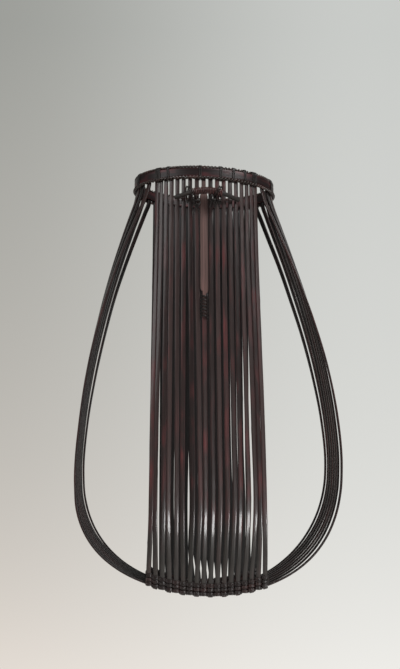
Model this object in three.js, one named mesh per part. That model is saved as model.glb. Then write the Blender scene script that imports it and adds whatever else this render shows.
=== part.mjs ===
// A hanging flower basket of split bamboo, stained dark and lacquered.
// Flat ribs hang from an oval rim, turn under, cross the base in plain weave and rise on the far side.
// Side strips leave the rim's two ends and swing out and round under the base in a pear-shaped loop.
// A wrapped bow on the wall side hangs the basket, and a bare slip of bamboo lies below it.
import * as THREE from 'three';

// Driving dimensions, in millimetres.
const RIM_WIDTH = 155.4; // over the outer hoop, left to right
const RIM_DEPTH = 114; // over the outer hoop, wall side to room side
const HOOP_TOP = 440.4; // heights are above the middle of the base
const HOOP_HEIGHT = 9;
const HOOP_THICK = 1.6;
const GAP = 0.3; // between pieces that touch
const STRIP_THICK = 1.6;
const STRIP_WIDTH = 4;

const RIB_COUNT = 18;
const RIB_SPREAD_RIM = 106; // first rib to last, at the rim
const RIB_CROWDING = 0.93; // the ribs stand closer towards the ends of the oval: 0 would be even spacing
const RIB_SPREAD_BASE = 116; // first rib to last, at the base
const BEND_HEIGHT = 74; // above here a rib is upright, and below it leans in towards the base
const BEND_DEPTH = 53; // a rib's distance from the middle plane at the bend
const CORNER_HEIGHT = 8.4; // where it turns under
const CORNER_DEPTH = 46.6;
// The ribs are set by eye, so at the bend they wander: their places from left to right there, on the wall
// side and on the room side. On the room side they wander at the rim too.
const RIBS_NEAR = [
  -56.6, -52.2, -44, -38.9, -30.8, -25, -14.8, -7.4, -1.8,
  5.8, 12.8, 20.1, 27.2, 33.2, 41.3, 48.2, 53, 57.8,
];
const RIBS_FAR = [
  -56, -51.6, -44.6, -39.9, -32.8, -25.6, -17.8, -11.3, -6.6,
  1, 8.3, 16.7, 24.8, 32.4, 39.4, 46.4, 51.5, 60.5,
];
const RIBS_FAR_RIM = [
  -54.5, -50, -45.5, -39.8, -32.5, -25.4, -18, -13.2, -8.4,
  -1.1, 7.1, 15.7, 23.8, 31.9, 39.4, 45.6, 51, 56.3,
];

const SIDE_COUNT = 8;
const SIDE_PITCH = 12; // from one side strip to the next, at the base
// The loops that the side strips make on the left and on the right, nearest the wall and farthest from it.
// reach and height give the widest place. level is how long a loop stays level from the middle of the base,
// and below and above are how long it stays upright on each side of the widest place.
const LOOPS = {
  left: {
    near: { reach: 133, height: 101, level: 34, below: 90, above: 189 },
    far: { reach: 131, height: 118, level: 27, below: 105, above: 145 },
  },
  right: {
    near: { reach: 138.3, height: 132, level: 34, below: 121, above: 140 },
    far: { reach: 137.2, height: 137.6, level: 72, below: 82, above: 124 },
  },
};
const RIM_GRIP = 4; // ribs and side strips stay straight for this long under the hoops
const NECK_DROP = 16; // a side strip leaves the rim straight down for this long
const WEAVE_LIFT = 2; // a rib's height over or under a side strip, centre to centre

const EDGING_HEIGHT = 2.6;
const EDGING_OVERHANG = 1.1; // the top edging's width over the two hoops' width
const LOWER_EDGING = 2.4; // diameter
const TIE_WIDTH = 1.4;
const TIE_THICK = 0.6;
const TIE_CORNER = 0.6; // how much of a tie's corners is cut off

const BOW_HALF_SPAN = 34;
const BOW_END_RIB = 5; // its left end lies on this rib
const BOW_END_HEIGHT = 407.5;
const BOW_END_CLEAR = 1.2; // the ribs curve, so its ends stand this much further out
const BOW_RISE = 4.6; // its middle above its ends
const BOW_STAND_OFF = 14.5; // its middle in front of its ends
const BOW_SECTION = [4.4, 3.6]; // height and depth at the middle
const BOW_TAPER = 0.7; // size of the ends, as a share of the middle
const BOW_LOOPS = 18;
const BOW_LOOP_PITCH = 1.68;
const BOW_STRAND = 0.55; // radius of the wrapping
const BOW_TIE_RIBS = [7, 11]; // the ribs that hold it, one on each side of the slip
const BOW_TIE_LOOPS = 2;
const BOW_TIE_PITCH = 2.2;
const BOW_TIE_TURN = 1.7; // how far before a corner a tie begins to turn
const BOW_TIE_SLACK = 1.2;
const BOW_TIE_DROP = 2; // it grips its rib this much below the bow's ends

const SLIP_WIDTH = 8.4;
const SLIP_NECK = 3; // its width behind the bow, and its tail's
const SLIP_THICK = 1.2;
const SLIP_TOP = 426;
const SLIP_SHOULDER = 409;
const SLIP_SHOULDER_CURVE = 6;
const SLIP_FOOT = 306.5;
const SLIP_FOOT_CURVE = 5;
const SLIP_FOOT_SLANT = 2.5; // its right corner is this much lower than its left one
const SLIP_TAIL = 279;
const SLIP_RIB = 9; // the rib that it lies on, counted from the left
const SLIP_CLEAR = 0.25; // the rib is hollow behind the straight slip, which stands this much further out

const CANE = 0.55; // radius of the lashings
const LASHING_LOOPS = 7;
const LASHING_PITCH = 3.4;
const LASHING_TOP = 303;
const LASHING_SLACK = 1.2; // a loop is this much deeper than what it holds
const LASHING_REACH = 3.3; // from a rib's middle to a strand in the gap beside it
const TWINE = 0.6; // radius of the twining along the base's edges
const TWINE_HOLD = 0.4; // how far a twined strand runs on past a rib's edge before it crosses
const TWINE_TWIST = 1.25; // a strand's height over or under its partner where they cross
const TWINE_ROW = 3.9; // from one row down to the next

const SLANT = 0.03; // what should be level drops to the right by this much, as the basket is made by hand

const FLATS = 1.06; // a round drawn with few flats is made this much larger, as the flats cut it down

const BAMBOO = { roughness: 0.42, metalness: 0 };
const RIB_COLOUR = 0x3a2523;
const SIDE_COLOUR = 0x38282a;
const RIM_COLOUR = 0x45292a;
const CANE_COLOUR = 0x2b211f;
const SLIP_COLOUR = 0x4a3638;

const UP = new THREE.Vector3(0, 0, 1);
const ACROSS = new THREE.Vector3(1, 0, 0);
const BACK = new THREE.Vector3(0, 1, 0);
const vec = (x, y, z) => new THREE.Vector3(x, y, z);
const mix = THREE.MathUtils.lerp;

const rectangle = (w, h) => [
  [-w / 2, -h / 2],
  [w / 2, -h / 2],
  [w / 2, h / 2],
  [-w / 2, h / 2],
];

const round = (radius, sides) =>
  Array.from({ length: sides }, (_, i) => {
    const a = ((i + 0.5) / sides) * 2 * Math.PI;
    return [radius * Math.cos(a), radius * Math.sin(a)];
  });

// The direction of a path at point i, from its neighbours.
function heading(points, i, closed) {
  const n = points.length;
  const before = closed ? points[(i + n - 1) % n] : points[Math.max(i - 1, 0)];
  const after = closed ? points[(i + 1) % n] : points[Math.min(i + 1, n - 1)];
  return after.clone().sub(before).normalize();
}

// A section swept along a path: one closed solid. side[i] is the direction of the section's first axis.
function sweep(points, side, section, { closed = false, scale = () => 1 } = {}) {
  const count = points.length;
  const around = section.length;
  const position = [];
  points.forEach((p, i) => {
    const t = heading(points, i, closed);
    const normal = vec(0, 0, 0).crossVectors(t, side[i]).normalize();
    const first = vec(0, 0, 0).crossVectors(normal, t).normalize();
    const size = scale(i / (count - 1));
    for (const [a, b] of section) {
      const q = p.clone().addScaledVector(first, a * size).addScaledVector(normal, b * size);
      position.push(q.x, q.y, q.z);
    }
  });
  const index = [];
  const steps = closed ? count : count - 1;
  for (let i = 0; i < steps; i++) {
    const here = i * around;
    const next = ((i + 1) % count) * around;
    for (let j = 0; j < around; j++) {
      const k = (j + 1) % around;
      index.push(here + j, here + k, next + k);
      index.push(here + j, next + k, next + j);
    }
  }
  if (!closed) {
    const last = (count - 1) * around;
    for (let j = 1; j < around - 1; j++) {
      index.push(0, j + 1, j);
      index.push(last, last + j, last + j + 1);
    }
  }
  return facingOut(position, index);
}

// A geometry whose faces point outwards, whichever way round its triangles were listed.
function facingOut(position, index) {
  const at = (i) => vec(position[3 * i], position[3 * i + 1], position[3 * i + 2]);
  let volume = 0;
  for (let i = 0; i < index.length; i += 3) {
    volume += at(index[i]).dot(at(index[i + 1]).cross(at(index[i + 2])));
  }
  if (volume < 0) index.reverse();
  const geometry = new THREE.BufferGeometry();
  geometry.setAttribute('position', new THREE.Float32BufferAttribute(position, 3));
  geometry.setIndex(index);
  return geometry;
}

const basket = new THREE.Group();

function piece(name, geometry, colour) {
  geometry.applyMatrix4(new THREE.Matrix4().makeShear(0, -SLANT, 0, 0, 0, 0));
  geometry.computeVertexNormals();
  const mesh = new THREE.Mesh(geometry, new THREE.MeshStandardMaterial({ color: colour, ...BAMBOO }));
  mesh.name = name;
  basket.add(mesh);
}

const numbered = (name, i) => `${name}_${String(i).padStart(2, '0')}`;

// The rim: the ribs and side strips stand in an oval between two hoops.
const RING_INSET = HOOP_THICK + GAP + STRIP_THICK / 2;
const RING_A = RIM_WIDTH / 2 - RING_INSET;
const RING_B = RIM_DEPTH / 2 - RING_INSET;
const HOOP_BOTTOM = HOOP_TOP - HOOP_HEIGHT;
const HOOP_OFFSET = STRIP_THICK / 2 + GAP + HOOP_THICK / 2;

const ringNormal = (angle) => vec(RING_B * Math.cos(angle), RING_A * Math.sin(angle), 0).normalize();

// A point of the oval, moved out by offset. Angle 0 is the right end, and the wall side is negative.
function ringPoint(angle, offset, height) {
  const p = vec(RING_A * Math.cos(angle), RING_B * Math.sin(angle), height);
  return p.addScaledVector(ringNormal(angle), offset);
}

const ringTangent = (angle) => vec(0, 0, 0).crossVectors(UP, ringNormal(angle));

function ring(offset, height, section, steps) {
  const angles = Array.from({ length: steps }, (_, i) => (i / steps) * 2 * Math.PI);
  const points = angles.map((a) => ringPoint(a, offset, height));
  return sweep(points, angles.map(ringNormal), section, { closed: true });
}

const RIM_STEPS = 56;
const hoop = (offset) =>
  ring(offset, (HOOP_TOP + HOOP_BOTTOM) / 2, rectangle(HOOP_THICK, HOOP_HEIGHT), RIM_STEPS);
piece('rim_outer_hoop', hoop(HOOP_OFFSET), RIM_COLOUR);
piece('rim_inner_hoop', hoop(-HOOP_OFFSET), RIM_COLOUR);

const edgingWidth = 2 * HOOP_OFFSET + HOOP_THICK;
const edgingSection = round(0.5, 6).map(([a, b]) => [a * edgingWidth * EDGING_OVERHANG, b * EDGING_HEIGHT]);
const edgingHeight = HOOP_TOP + GAP + EDGING_HEIGHT / 2;
piece('rim_top_edging', ring(0, edgingHeight, edgingSection, RIM_STEPS), CANE_COLOUR);

const lowerOffset = STRIP_THICK / 2 + GAP + LOWER_EDGING / 2;
const lowerHeight = HOOP_BOTTOM - GAP - LOWER_EDGING / 2;
const lowerSection = round(LOWER_EDGING / 2, 6);
piece('rim_lower_edging', ring(lowerOffset, lowerHeight, lowerSection, RIM_STEPS), CANE_COLOUR);

// The loop of side strip k, from the middle of the base to the rim, as a distance out and a height.
const STRIP_TOP = HOOP_TOP - GAP;
const NECK_HEIGHT = HOOP_BOTTOM - RIM_GRIP;

function loopOf(k, hand) {
  const { near, far } = hand > 0 ? LOOPS.right : LOOPS.left;
  const share = (k - 1) / (SIDE_COUNT - 1);
  return Object.fromEntries(Object.keys(near).map((key) => [key, mix(near[key], far[key], share)]));
}

function lowLoop(k, hand) {
  const { reach, height, level, below } = loopOf(k, hand);
  return new THREE.CubicBezierCurve3(
    vec(0, 0, 0),
    vec(level, 0, 0),
    vec(reach, 0, height - below),
    vec(reach, 0, height),
  );
}

function highLoop(k, hand, rimReach) {
  const { reach, height, above } = loopOf(k, hand);
  return new THREE.CubicBezierCurve3(
    vec(reach, 0, height),
    vec(reach, 0, height + above),
    vec(rimReach, 0, NECK_HEIGHT - NECK_DROP),
    vec(rimReach, 0, NECK_HEIGHT),
  );
}

// Where a curve passes a value that grows along it, found by halving.
const HALVINGS = 30;
function parameterWhere(passed) {
  let low = 0;
  let high = 1;
  for (let i = 0; i < HALVINGS; i++) {
    const middle = (low + high) / 2;
    if (passed(middle)) high = middle;
    else low = middle;
  }
  return low;
}

// Side strip k where it crosses the base at x: the point there, the direction along it and the direction up
// from it.
function baseAt(x, k) {
  const hand = x < 0 ? -1 : 1;
  const loop = lowLoop(k, hand);
  const t = parameterWhere((s) => loop.getPoint(s).x > Math.abs(x));
  const tangent = loop.getTangent(t);
  const along = vec(tangent.x, 0, hand * tangent.z).normalize();
  return { point: vec(x, 0, loop.getPoint(t).z), along, upward: vec(0, 0, 0).crossVectors(along, BACK) };
}

// Side strips: the first is nearest the wall. They spread from the rim's end arcs to the base's full depth.
const ribAngle = (x) => Math.acos(x / RING_A);
const SIDE_ARC = ribAngle(RIB_SPREAD_RIM / 2);
const sideDepth = (k) => (k - (SIDE_COUNT + 1) / 2) * SIDE_PITCH;
const sideAngle = (k) => SIDE_ARC * ((2 * k) / (SIDE_COUNT + 1) - 1);

// One half of a side strip, from the base to the rim; hand is 1 on the right and -1 on the left.
const LOW_STEPS = 12;
const HIGH_STEPS = 8;
function sideHalf(k, hand) {
  const angle = sideAngle(k);
  const top = ringPoint(angle, 0, STRIP_TOP);
  const flat = BACK.clone();
  const standing = ringTangent(angle);
  const points = [];
  const side = [];
  const add = (p, y, turn) => {
    points.push(vec(hand * p.x, y, p.z));
    const s = flat.clone().lerp(standing, turn).normalize();
    side.push(vec(hand * s.x, s.y, s.z));
  };
  const low = lowLoop(k, hand);
  for (let i = 1; i <= LOW_STEPS; i++) add(low.getPoint(i / LOW_STEPS), sideDepth(k), 0);
  const high = highLoop(k, hand, top.x);
  for (let i = 1; i <= HIGH_STEPS; i++) {
    const t = i / HIGH_STEPS;
    const ease = THREE.MathUtils.smoothstep(t, 0, 1);
    add(high.getPoint(t), mix(sideDepth(k), top.y, ease), ease);
  }
  add(top, top.y, 1);
  return { points, side };
}

for (let k = 1; k <= SIDE_COUNT; k++) {
  const right = sideHalf(k, 1);
  const left = sideHalf(k, -1);
  const middle = baseAt(0, k).point.setY(sideDepth(k));
  const points = [...left.points.reverse(), middle, ...right.points];
  const side = [...left.side.reverse(), BACK.clone(), ...right.side];
  piece(`side_strip_${k}`, sweep(points, side, rectangle(STRIP_WIDTH, STRIP_THICK)), SIDE_COLOUR);
}

// Ribs, counted from the left. Each runs from the near rim, over and under the side strips, to the far rim.
const FLAT_HALF = STRIP_WIDTH / 2 + GAP; // a rib stays level over this much of each side strip
const ribShare = (i) => (2 * (i - 1)) / (RIB_COUNT - 1) - 1;
function ribTopX(i, wall) {
  if (wall > 0) return RIBS_FAR_RIM[i - 1];
  return ((RIB_SPREAD_RIM / 2) * Math.sin(ribShare(i) * RIB_CROWDING)) / Math.sin(RIB_CROWDING);
}
const ribBaseX = (i) => (ribShare(i) * RIB_SPREAD_BASE) / 2;
const passesOver = (i, k) => (i + k) % 2 === 0;

function weavePoint(i, k, y) {
  const { point, upward } = baseAt(ribBaseX(i), k);
  point.addScaledVector(upward, passesOver(i, k) ? WEAVE_LIFT : -WEAVE_LIFT);
  return point.setY(y);
}

// Where a rib stands on the rim, at the bend and at the corner of the base, on one side of the basket:
// wall is -1 for the wall side and 1 for the room side.
const ribTopAngle = (i, wall) => wall * ribAngle(ribTopX(i, wall));
const ribNeck = (i, wall) => ringPoint(ribTopAngle(i, wall), 0, NECK_HEIGHT);
const edgeStrip = (wall) => (wall < 0 ? 1 : SIDE_COUNT);
const ribCorner = (i, wall) =>
  baseAt(ribBaseX(i), edgeStrip(wall)).point.add(vec(0, wall * CORNER_DEPTH, CORNER_HEIGHT));

const ribBend = (i, wall) =>
  vec((wall < 0 ? RIBS_NEAR : RIBS_FAR)[i - 1], wall * BEND_DEPTH, BEND_HEIGHT);

// The upright part of a rib.
function ribLeg(i, wall) {
  const neck = ribNeck(i, wall);
  const bend = ribBend(i, wall);
  const third = (neck.z - bend.z) / 3;
  return new THREE.CubicBezierCurve3(
    neck,
    neck.clone().add(vec(0, 0, -third)),
    bend.clone().add(vec(0, 0, third)),
    bend,
  );
}

// The leaning part, from the bend to the corner.
const CORNER_LEAN = 0.2; // how much a rib leans in at the corner, for each unit down
function ribLean(i, wall) {
  const bend = ribBend(i, wall);
  const corner = ribCorner(i, wall);
  const third = (bend.z - corner.z) / 3;
  return new THREE.CubicBezierCurve3(
    bend,
    bend.clone().add(vec(0, 0, -third)),
    corner.clone().add(vec(0, wall * CORNER_LEAN * third, third)),
    corner,
  );
}

// The turn under the corner, onto the first side strip.
const TURN_LEAD = 1.2; // how far it runs level before it reaches the strip
function ribTurn(i, wall) {
  const corner = ribCorner(i, wall);
  const k = edgeStrip(wall);
  const land = weavePoint(i, k, sideDepth(k) + wall * FLAT_HALF);
  const fall = corner.z - land.z;
  return new THREE.CubicBezierCurve3(
    corner,
    corner.clone().add(vec(0, -wall * CORNER_LEAN * fall, -fall)),
    land.clone().add(vec(0, wall * TURN_LEAD, 0)),
    land,
  );
}

// Half of a rib, from the rim to the base's first crossing.
const LEG_STEPS = 4;
const LEAN_STEPS = 2;
const TURN_STEPS = 4;
function ribHalf(i, wall) {
  const standing = ringTangent(ribTopAngle(i, wall)).multiplyScalar(-wall);
  const { along } = baseAt(ribBaseX(i), edgeStrip(wall));
  const points = [ribNeck(i, wall).setZ(STRIP_TOP)];
  const side = [standing.clone()];
  const add = (curve, steps, from, to, first) => {
    for (let j = first; j <= steps; j++) {
      points.push(curve.getPoint(j / steps));
      side.push(from.clone().lerp(to, j / steps).normalize());
    }
  };
  add(ribLeg(i, wall), LEG_STEPS, standing, ACROSS, 0);
  add(ribLean(i, wall), LEAN_STEPS, ACROSS, ACROSS, 1);
  add(ribTurn(i, wall), TURN_STEPS, ACROSS, along, 1);
  return { points, side };
}

for (let i = 1; i <= RIB_COUNT; i++) {
  const near = ribHalf(i, -1);
  const far = ribHalf(i, 1);
  const base = [];
  const baseSide = [];
  for (let k = 1; k <= SIDE_COUNT; k++) {
    for (const edge of [-FLAT_HALF, FLAT_HALF]) {
      if ((k === 1 && edge < 0) || (k === SIDE_COUNT && edge > 0)) continue;
      base.push(weavePoint(i, k, sideDepth(k) + edge));
      baseSide.push(baseAt(ribBaseX(i), k).along);
    }
  }
  const points = [...near.points, ...base, ...far.points.reverse()];
  const side = [...near.side, ...baseSide, ...far.side.reverse()];
  piece(numbered('rib', i), sweep(points, side, rectangle(STRIP_WIDTH, STRIP_THICK)), RIB_COLOUR);
}

// Rim ties: bands of cane round both hoops and both edgings, through the gaps between the standing ends.
function rimTie(angle) {
  const outer = HOOP_OFFSET + HOOP_THICK / 2 + GAP + TIE_THICK / 2;
  const top = edgingHeight + EDGING_HEIGHT / 2 + GAP + TIE_THICK / 2;
  const shoulder = top - TIE_CORNER;
  const lowerOut = lowerOffset + LOWER_EDGING / 2 + GAP + TIE_THICK / 2;
  const bottom = lowerHeight - LOWER_EDGING / 2 - GAP - TIE_THICK / 2;
  const corners = [
    [outer, edgingHeight],
    [outer, HOOP_BOTTOM + TIE_CORNER],
    [lowerOut, HOOP_BOTTOM - TIE_CORNER],
    [lowerOut, bottom + TIE_CORNER],
    [lowerOut - TIE_CORNER, bottom],
    [-outer, bottom],
    [-outer, edgingHeight],
    [TIE_CORNER / 2 - outer, shoulder],
    [0, top],
    [outer - TIE_CORNER / 2, shoulder],
  ];
  const points = corners.map(([offset, height]) => ringPoint(angle, offset, height));
  const side = corners.map(() => ringTangent(angle));
  return sweep(points, side, rectangle(TIE_WIDTH, TIE_THICK), { closed: true });
}

const betweenRibs = (i, wall) => (ribTopAngle(i, wall) + ribTopAngle(i + 1, wall)) / 2;
const betweenSides = (k) => sideAngle(k + 0.5);
const tieAngles = [
  ...[1, 3, 8, 11, 13, 15, 17].map((i) => betweenRibs(i, -1)),
  ...[2, 5].map(betweenSides),
  ...[15, 9, 3].map((i) => betweenRibs(i, 1)),
  ...[2, 5].map((k) => Math.PI - betweenSides(k)),
];
tieAngles.forEach((angle, i) => piece(numbered('rim_tie', i + 1), rimTie(angle), CANE_COLOUR));

// A strand wound round something: loops of one unbroken tube, measured against itself.
function winding(name, place, { loops, steps, sides, radius }) {
  const points = [];
  const side = [];
  for (let i = 0; i <= loops * steps; i++) {
    const { point, centre } = place(i / steps);
    points.push(point);
    side.push(point.clone().sub(centre).normalize());
  }
  let least = Infinity;
  for (let i = 0; i < points.length; i++) {
    for (let j = i + Math.ceil(steps / 2); j < points.length; j++) {
      least = Math.min(least, points[i].distanceTo(points[j]) - 2 * radius);
    }
  }
  console.log(`${name}: least gap to itself ${least.toFixed(2)} mm`);
  return sweep(points, side, round(radius, sides));
}

// The place of a rib's upright part on the wall side at a height.
function ribAt(i, height) {
  const leg = ribLeg(i, -1);
  return leg.getPoint(parameterWhere((s) => leg.getPoint(s).z < height));
}

// The bow: a curved bar that stands off the ribs in the middle, with tapering bare ends.
const bowEndHalf = (BOW_SECTION[1] * BOW_TAPER) / 2;
const bowEndDepth =
  ribAt(BOW_END_RIB, BOW_END_HEIGHT).y - STRIP_THICK / 2 - GAP - bowEndHalf - BOW_END_CLEAR;

function bowPoint(x) {
  const arch = Math.cos((Math.PI / 2) * (x / BOW_HALF_SPAN));
  return vec(x, bowEndDepth - BOW_STAND_OFF * arch, BOW_END_HEIGHT + BOW_RISE * arch);
}

function bowAlong(x) {
  return bowPoint(x + 0.1).sub(bowPoint(x - 0.1)).normalize();
}

const BOW_STEPS = 16;
const bowPoints = Array.from({ length: BOW_STEPS + 1 }, (_, i) =>
  bowPoint(mix(-BOW_HALF_SPAN, BOW_HALF_SPAN, i / BOW_STEPS)),
);
const bowSection = round(FLATS / 2, 8).map(([a, b]) => [a * BOW_SECTION[0], b * BOW_SECTION[1]]);
const bowSize = (s) => mix(BOW_TAPER, 1, Math.sin(Math.PI * s) ** 0.5);
piece('bow', sweep(bowPoints, bowPoints.map(() => UP), bowSection, { scale: bowSize }), SLIP_COLOUR);

const bowLoop = (turns) => {
  const x = (turns - BOW_LOOPS / 2) * BOW_LOOP_PITCH;
  const centre = bowPoint(x);
  const along = bowAlong(x);
  const forward = vec(0, 0, 0).crossVectors(along, UP).normalize();
  const upward = vec(0, 0, 0).crossVectors(forward, along).normalize();
  const phase = turns * 2 * Math.PI;
  const high = (BOW_SECTION[0] / 2 + GAP + BOW_STRAND) * FLATS;
  const deep = (BOW_SECTION[1] / 2 + GAP + BOW_STRAND) * FLATS;
  const point = centre.clone();
  point.addScaledVector(upward, high * Math.cos(phase)).addScaledVector(forward, deep * Math.sin(phase));
  return { point, centre };
};
const wrapping = { loops: BOW_LOOPS, steps: 16, sides: 4, radius: BOW_STRAND };
piece('bow_wrapping', winding('bow_wrapping', bowLoop, wrapping), RIM_COLOUR);

// The slip: flat bamboo on one rib, narrow behind the bow, with a slanting foot and a tail for its lashing.
const slipRibTop = ribAt(SLIP_RIB, SLIP_TOP);
const slipRibTail = ribAt(SLIP_RIB, SLIP_TAIL);

function slip() {
  const shape = new THREE.Shape();
  const half = SLIP_WIDTH / 2;
  const neck = SLIP_NECK / 2;
  const top = SLIP_TOP - SLIP_TAIL;
  const shoulder = SLIP_SHOULDER - SLIP_TAIL;
  const leftFoot = SLIP_FOOT - SLIP_TAIL;
  const rightFoot = leftFoot - SLIP_FOOT_SLANT;
  shape.moveTo(-neck, top);
  shape.quadraticCurveTo(-neck, shoulder + SLIP_SHOULDER_CURVE, -half, shoulder);
  shape.lineTo(-half, leftFoot + SLIP_FOOT_CURVE);
  shape.quadraticCurveTo(-half, leftFoot, -neck, leftFoot);
  shape.lineTo(-neck, 0);
  shape.lineTo(neck, 0);
  shape.lineTo(neck, rightFoot);
  shape.quadraticCurveTo(half, rightFoot, half, rightFoot + SLIP_FOOT_CURVE);
  shape.lineTo(half, shoulder);
  shape.quadraticCurveTo(neck, shoulder + SLIP_SHOULDER_CURVE, neck, top);
  const solid = { depth: SLIP_THICK, bevelEnabled: false, curveSegments: 3 };
  const geometry = new THREE.ExtrudeGeometry(shape, solid);
  const upward = slipRibTop.clone().sub(slipRibTail).normalize();
  const outward = vec(0, 0, 0).crossVectors(ACROSS, upward).normalize();
  const across = vec(0, 0, 0).crossVectors(upward, outward);
  const place = new THREE.Matrix4().makeBasis(across, upward, outward);
  const foot = slipRibTail.clone().addScaledVector(outward, STRIP_THICK / 2 + GAP + SLIP_CLEAR);
  place.setPosition(foot);
  return geometry.applyMatrix4(place);
}

piece('slip', slip(), SLIP_COLOUR);

// The slip's lashing: loops round the rib and the slip's tail, through the gaps on both sides of the rib.
const slipLoop = (turns) => {
  const rib = ribAt(SLIP_RIB, LASHING_TOP - turns * LASHING_PITCH);
  const stack = STRIP_THICK + GAP + SLIP_CLEAR + SLIP_THICK;
  const centre = rib.clone().add(vec(0, (STRIP_THICK - stack) / 2, 0));
  const phase = turns * 2 * Math.PI;
  const deep = stack / 2 + CANE + LASHING_SLACK;
  const point = centre.clone().add(vec(LASHING_REACH * Math.cos(phase), deep * Math.sin(phase), 0));
  return { point, centre };
};
const lashing = { loops: LASHING_LOOPS, steps: 16, sides: 5, radius: CANE };
piece('slip_lashing', winding('slip_lashing', slipLoop, lashing), CANE_COLOUR);

// The bow's ties: long loops from behind a rib to the front of the bow, over it on one side of the rib and
// under it on the other.
function bowTie(name, ribNumber, hand) {
  const rib = ribAt(ribNumber, BOW_END_HEIGHT - BOW_TIE_DROP);
  const bow = bowPoint(rib.x);
  const rear = rib.y + STRIP_THICK / 2 + 2 * GAP + CANE;
  const wrapped = BOW_SECTION[0] / 2 + 2 * BOW_STRAND + 3 * GAP + CANE + BOW_TIE_SLACK;
  const fall = BOW_TIE_PITCH / 8;
  const corners = [];
  for (let n = 0; n < BOW_TIE_LOOPS; n++) {
    const down = n * BOW_TIE_PITCH;
    const shift = (n - (BOW_TIE_LOOPS - 1) / 2) * BOW_TIE_PITCH;
    const low = rib.z - down;
    corners.push(
      vec(-BOW_TIE_TURN, rear, low + fall),
      vec(-LASHING_REACH, rib.y, low),
      vec(shift - LASHING_REACH, bow.y, bow.z + wrapped),
      vec(shift - BOW_TIE_TURN, bow.y - wrapped, bow.z + wrapped / 2),
      vec(shift + BOW_TIE_TURN, bow.y - wrapped, bow.z - wrapped / 2),
      vec(shift + LASHING_REACH, bow.y, bow.z - wrapped),
      vec(LASHING_REACH, rib.y, low - 2 * fall),
      vec(BOW_TIE_TURN, rear, low - 3 * fall),
    );
  }
  const curve = new THREE.CatmullRomCurve3(corners.map((c) => vec(rib.x + hand * c.x, c.y, c.z)));
  const middle = vec(rib.x, (rib.y + bow.y) / 2, (rib.z + bow.z) / 2);
  const place = (turns) => ({ point: curve.getPoint(turns / BOW_TIE_LOOPS), centre: middle });
  return winding(name, place, { loops: BOW_TIE_LOOPS, steps: 20, sides: 5, radius: CANE });
}
piece('bow_tie_left', bowTie('bow_tie_left', BOW_TIE_RIBS[0], 1), CANE_COLOUR);
piece('bow_tie_right', bowTie('bow_tie_right', BOW_TIE_RIBS[1], -1), CANE_COLOUR);

// Twining: two strands go along each edge of the base and back in a second row. They pass a rib on opposite
// sides and twist between ribs.
function twine(wall, partner) {
  const off = STRIP_THICK / 2 + GAP + TWINE;
  const hold = STRIP_WIDTH / 2 + TWINE_HOLD;
  const row = (drop) => {
    const points = [];
    for (let i = 1; i <= RIB_COUNT; i++) {
      const out = (i + partner) % 2 === 0 ? wall : -wall;
      const place = (x) => ribCorner(x, wall).add(vec(0, -wall * CORNER_LEAN * drop, -drop));
      const rib = place(i);
      points.push(rib.clone().add(vec(-hold, out * off, 0)), rib.clone().add(vec(hold, out * off, 0)));
      if (i === RIB_COUNT) break;
      const twist = out === wall ? -TWINE_TWIST : TWINE_TWIST;
      points.push(rib.add(place(i + 1)).multiplyScalar(0.5).add(vec(0, 0, twist)));
    }
    return points;
  };
  const points = [...row(0), ...row(TWINE_ROW).reverse()];
  return sweep(points, points.map(() => UP), round(TWINE, 4));
}
piece('base_twine_near_1', twine(-1, 0), CANE_COLOUR);
piece('base_twine_near_2', twine(-1, 1), CANE_COLOUR);
piece('base_twine_far_1', twine(1, 0), CANE_COLOUR);
piece('base_twine_far_2', twine(1, 1), CANE_COLOUR);

// The origin is where a hook bears: under the middle of the bow's wrapping.
const bearing = bowPoint(0).sub(vec(0, 0, BOW_SECTION[0] / 2 + GAP + 2 * BOW_STRAND));
basket.position.copy(bearing).negate();
const part = new THREE.Group();
part.add(basket);
console.log(`origin: ${bearing.z.toFixed(2)} mm over the base, ${bearing.y.toFixed(2)} mm off its middle`);

export default part;
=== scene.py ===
"""A hanging flower basket of split bamboo, stained dark and lacquered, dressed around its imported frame."""
import math

import bmesh
import bpy
from mathutils import Matrix, Vector


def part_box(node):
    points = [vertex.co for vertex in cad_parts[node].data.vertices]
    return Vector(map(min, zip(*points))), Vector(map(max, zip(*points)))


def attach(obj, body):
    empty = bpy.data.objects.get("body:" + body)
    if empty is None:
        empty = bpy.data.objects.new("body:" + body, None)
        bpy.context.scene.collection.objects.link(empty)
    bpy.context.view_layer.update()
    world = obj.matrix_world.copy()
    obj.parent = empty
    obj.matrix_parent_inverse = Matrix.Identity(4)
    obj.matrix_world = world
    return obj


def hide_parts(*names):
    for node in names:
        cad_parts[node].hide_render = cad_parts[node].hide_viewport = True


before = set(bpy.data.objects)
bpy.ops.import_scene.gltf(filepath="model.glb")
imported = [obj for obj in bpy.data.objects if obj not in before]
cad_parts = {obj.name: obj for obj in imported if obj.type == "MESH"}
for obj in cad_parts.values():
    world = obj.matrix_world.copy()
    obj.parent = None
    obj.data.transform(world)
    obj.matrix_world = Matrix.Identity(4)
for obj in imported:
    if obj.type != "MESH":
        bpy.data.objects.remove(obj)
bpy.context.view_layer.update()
scene = bpy.context.scene


# Camera: it stands a metre in front of the basket and a little to the left, level with the basket's lower
# part, and looks up at it.
camera = bpy.data.cameras.new("photo_camera")
camera.lens = 53.27
camera.sensor_width = 36
viewpoint = bpy.data.objects.new("photo_camera", camera)
viewpoint.location = (-0.0600, -0.98955, -0.33550)
viewpoint.rotation_euler = (math.radians(100.6), 0, math.radians(-3))
scene.collection.objects.link(viewpoint)
scene.camera = viewpoint


# Ribs: eighteen strips split from a bamboo culm, shaved flat and bent by heat where they turn under. Each is
# stained with a brown black lacquer and runs in one length from the wall side of the rim, over and under the
# side strips of the base, to the room side.
MM = 0.001
SAME_PLACE = 1e-6
SAME_PLANE = 0.9999


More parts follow.
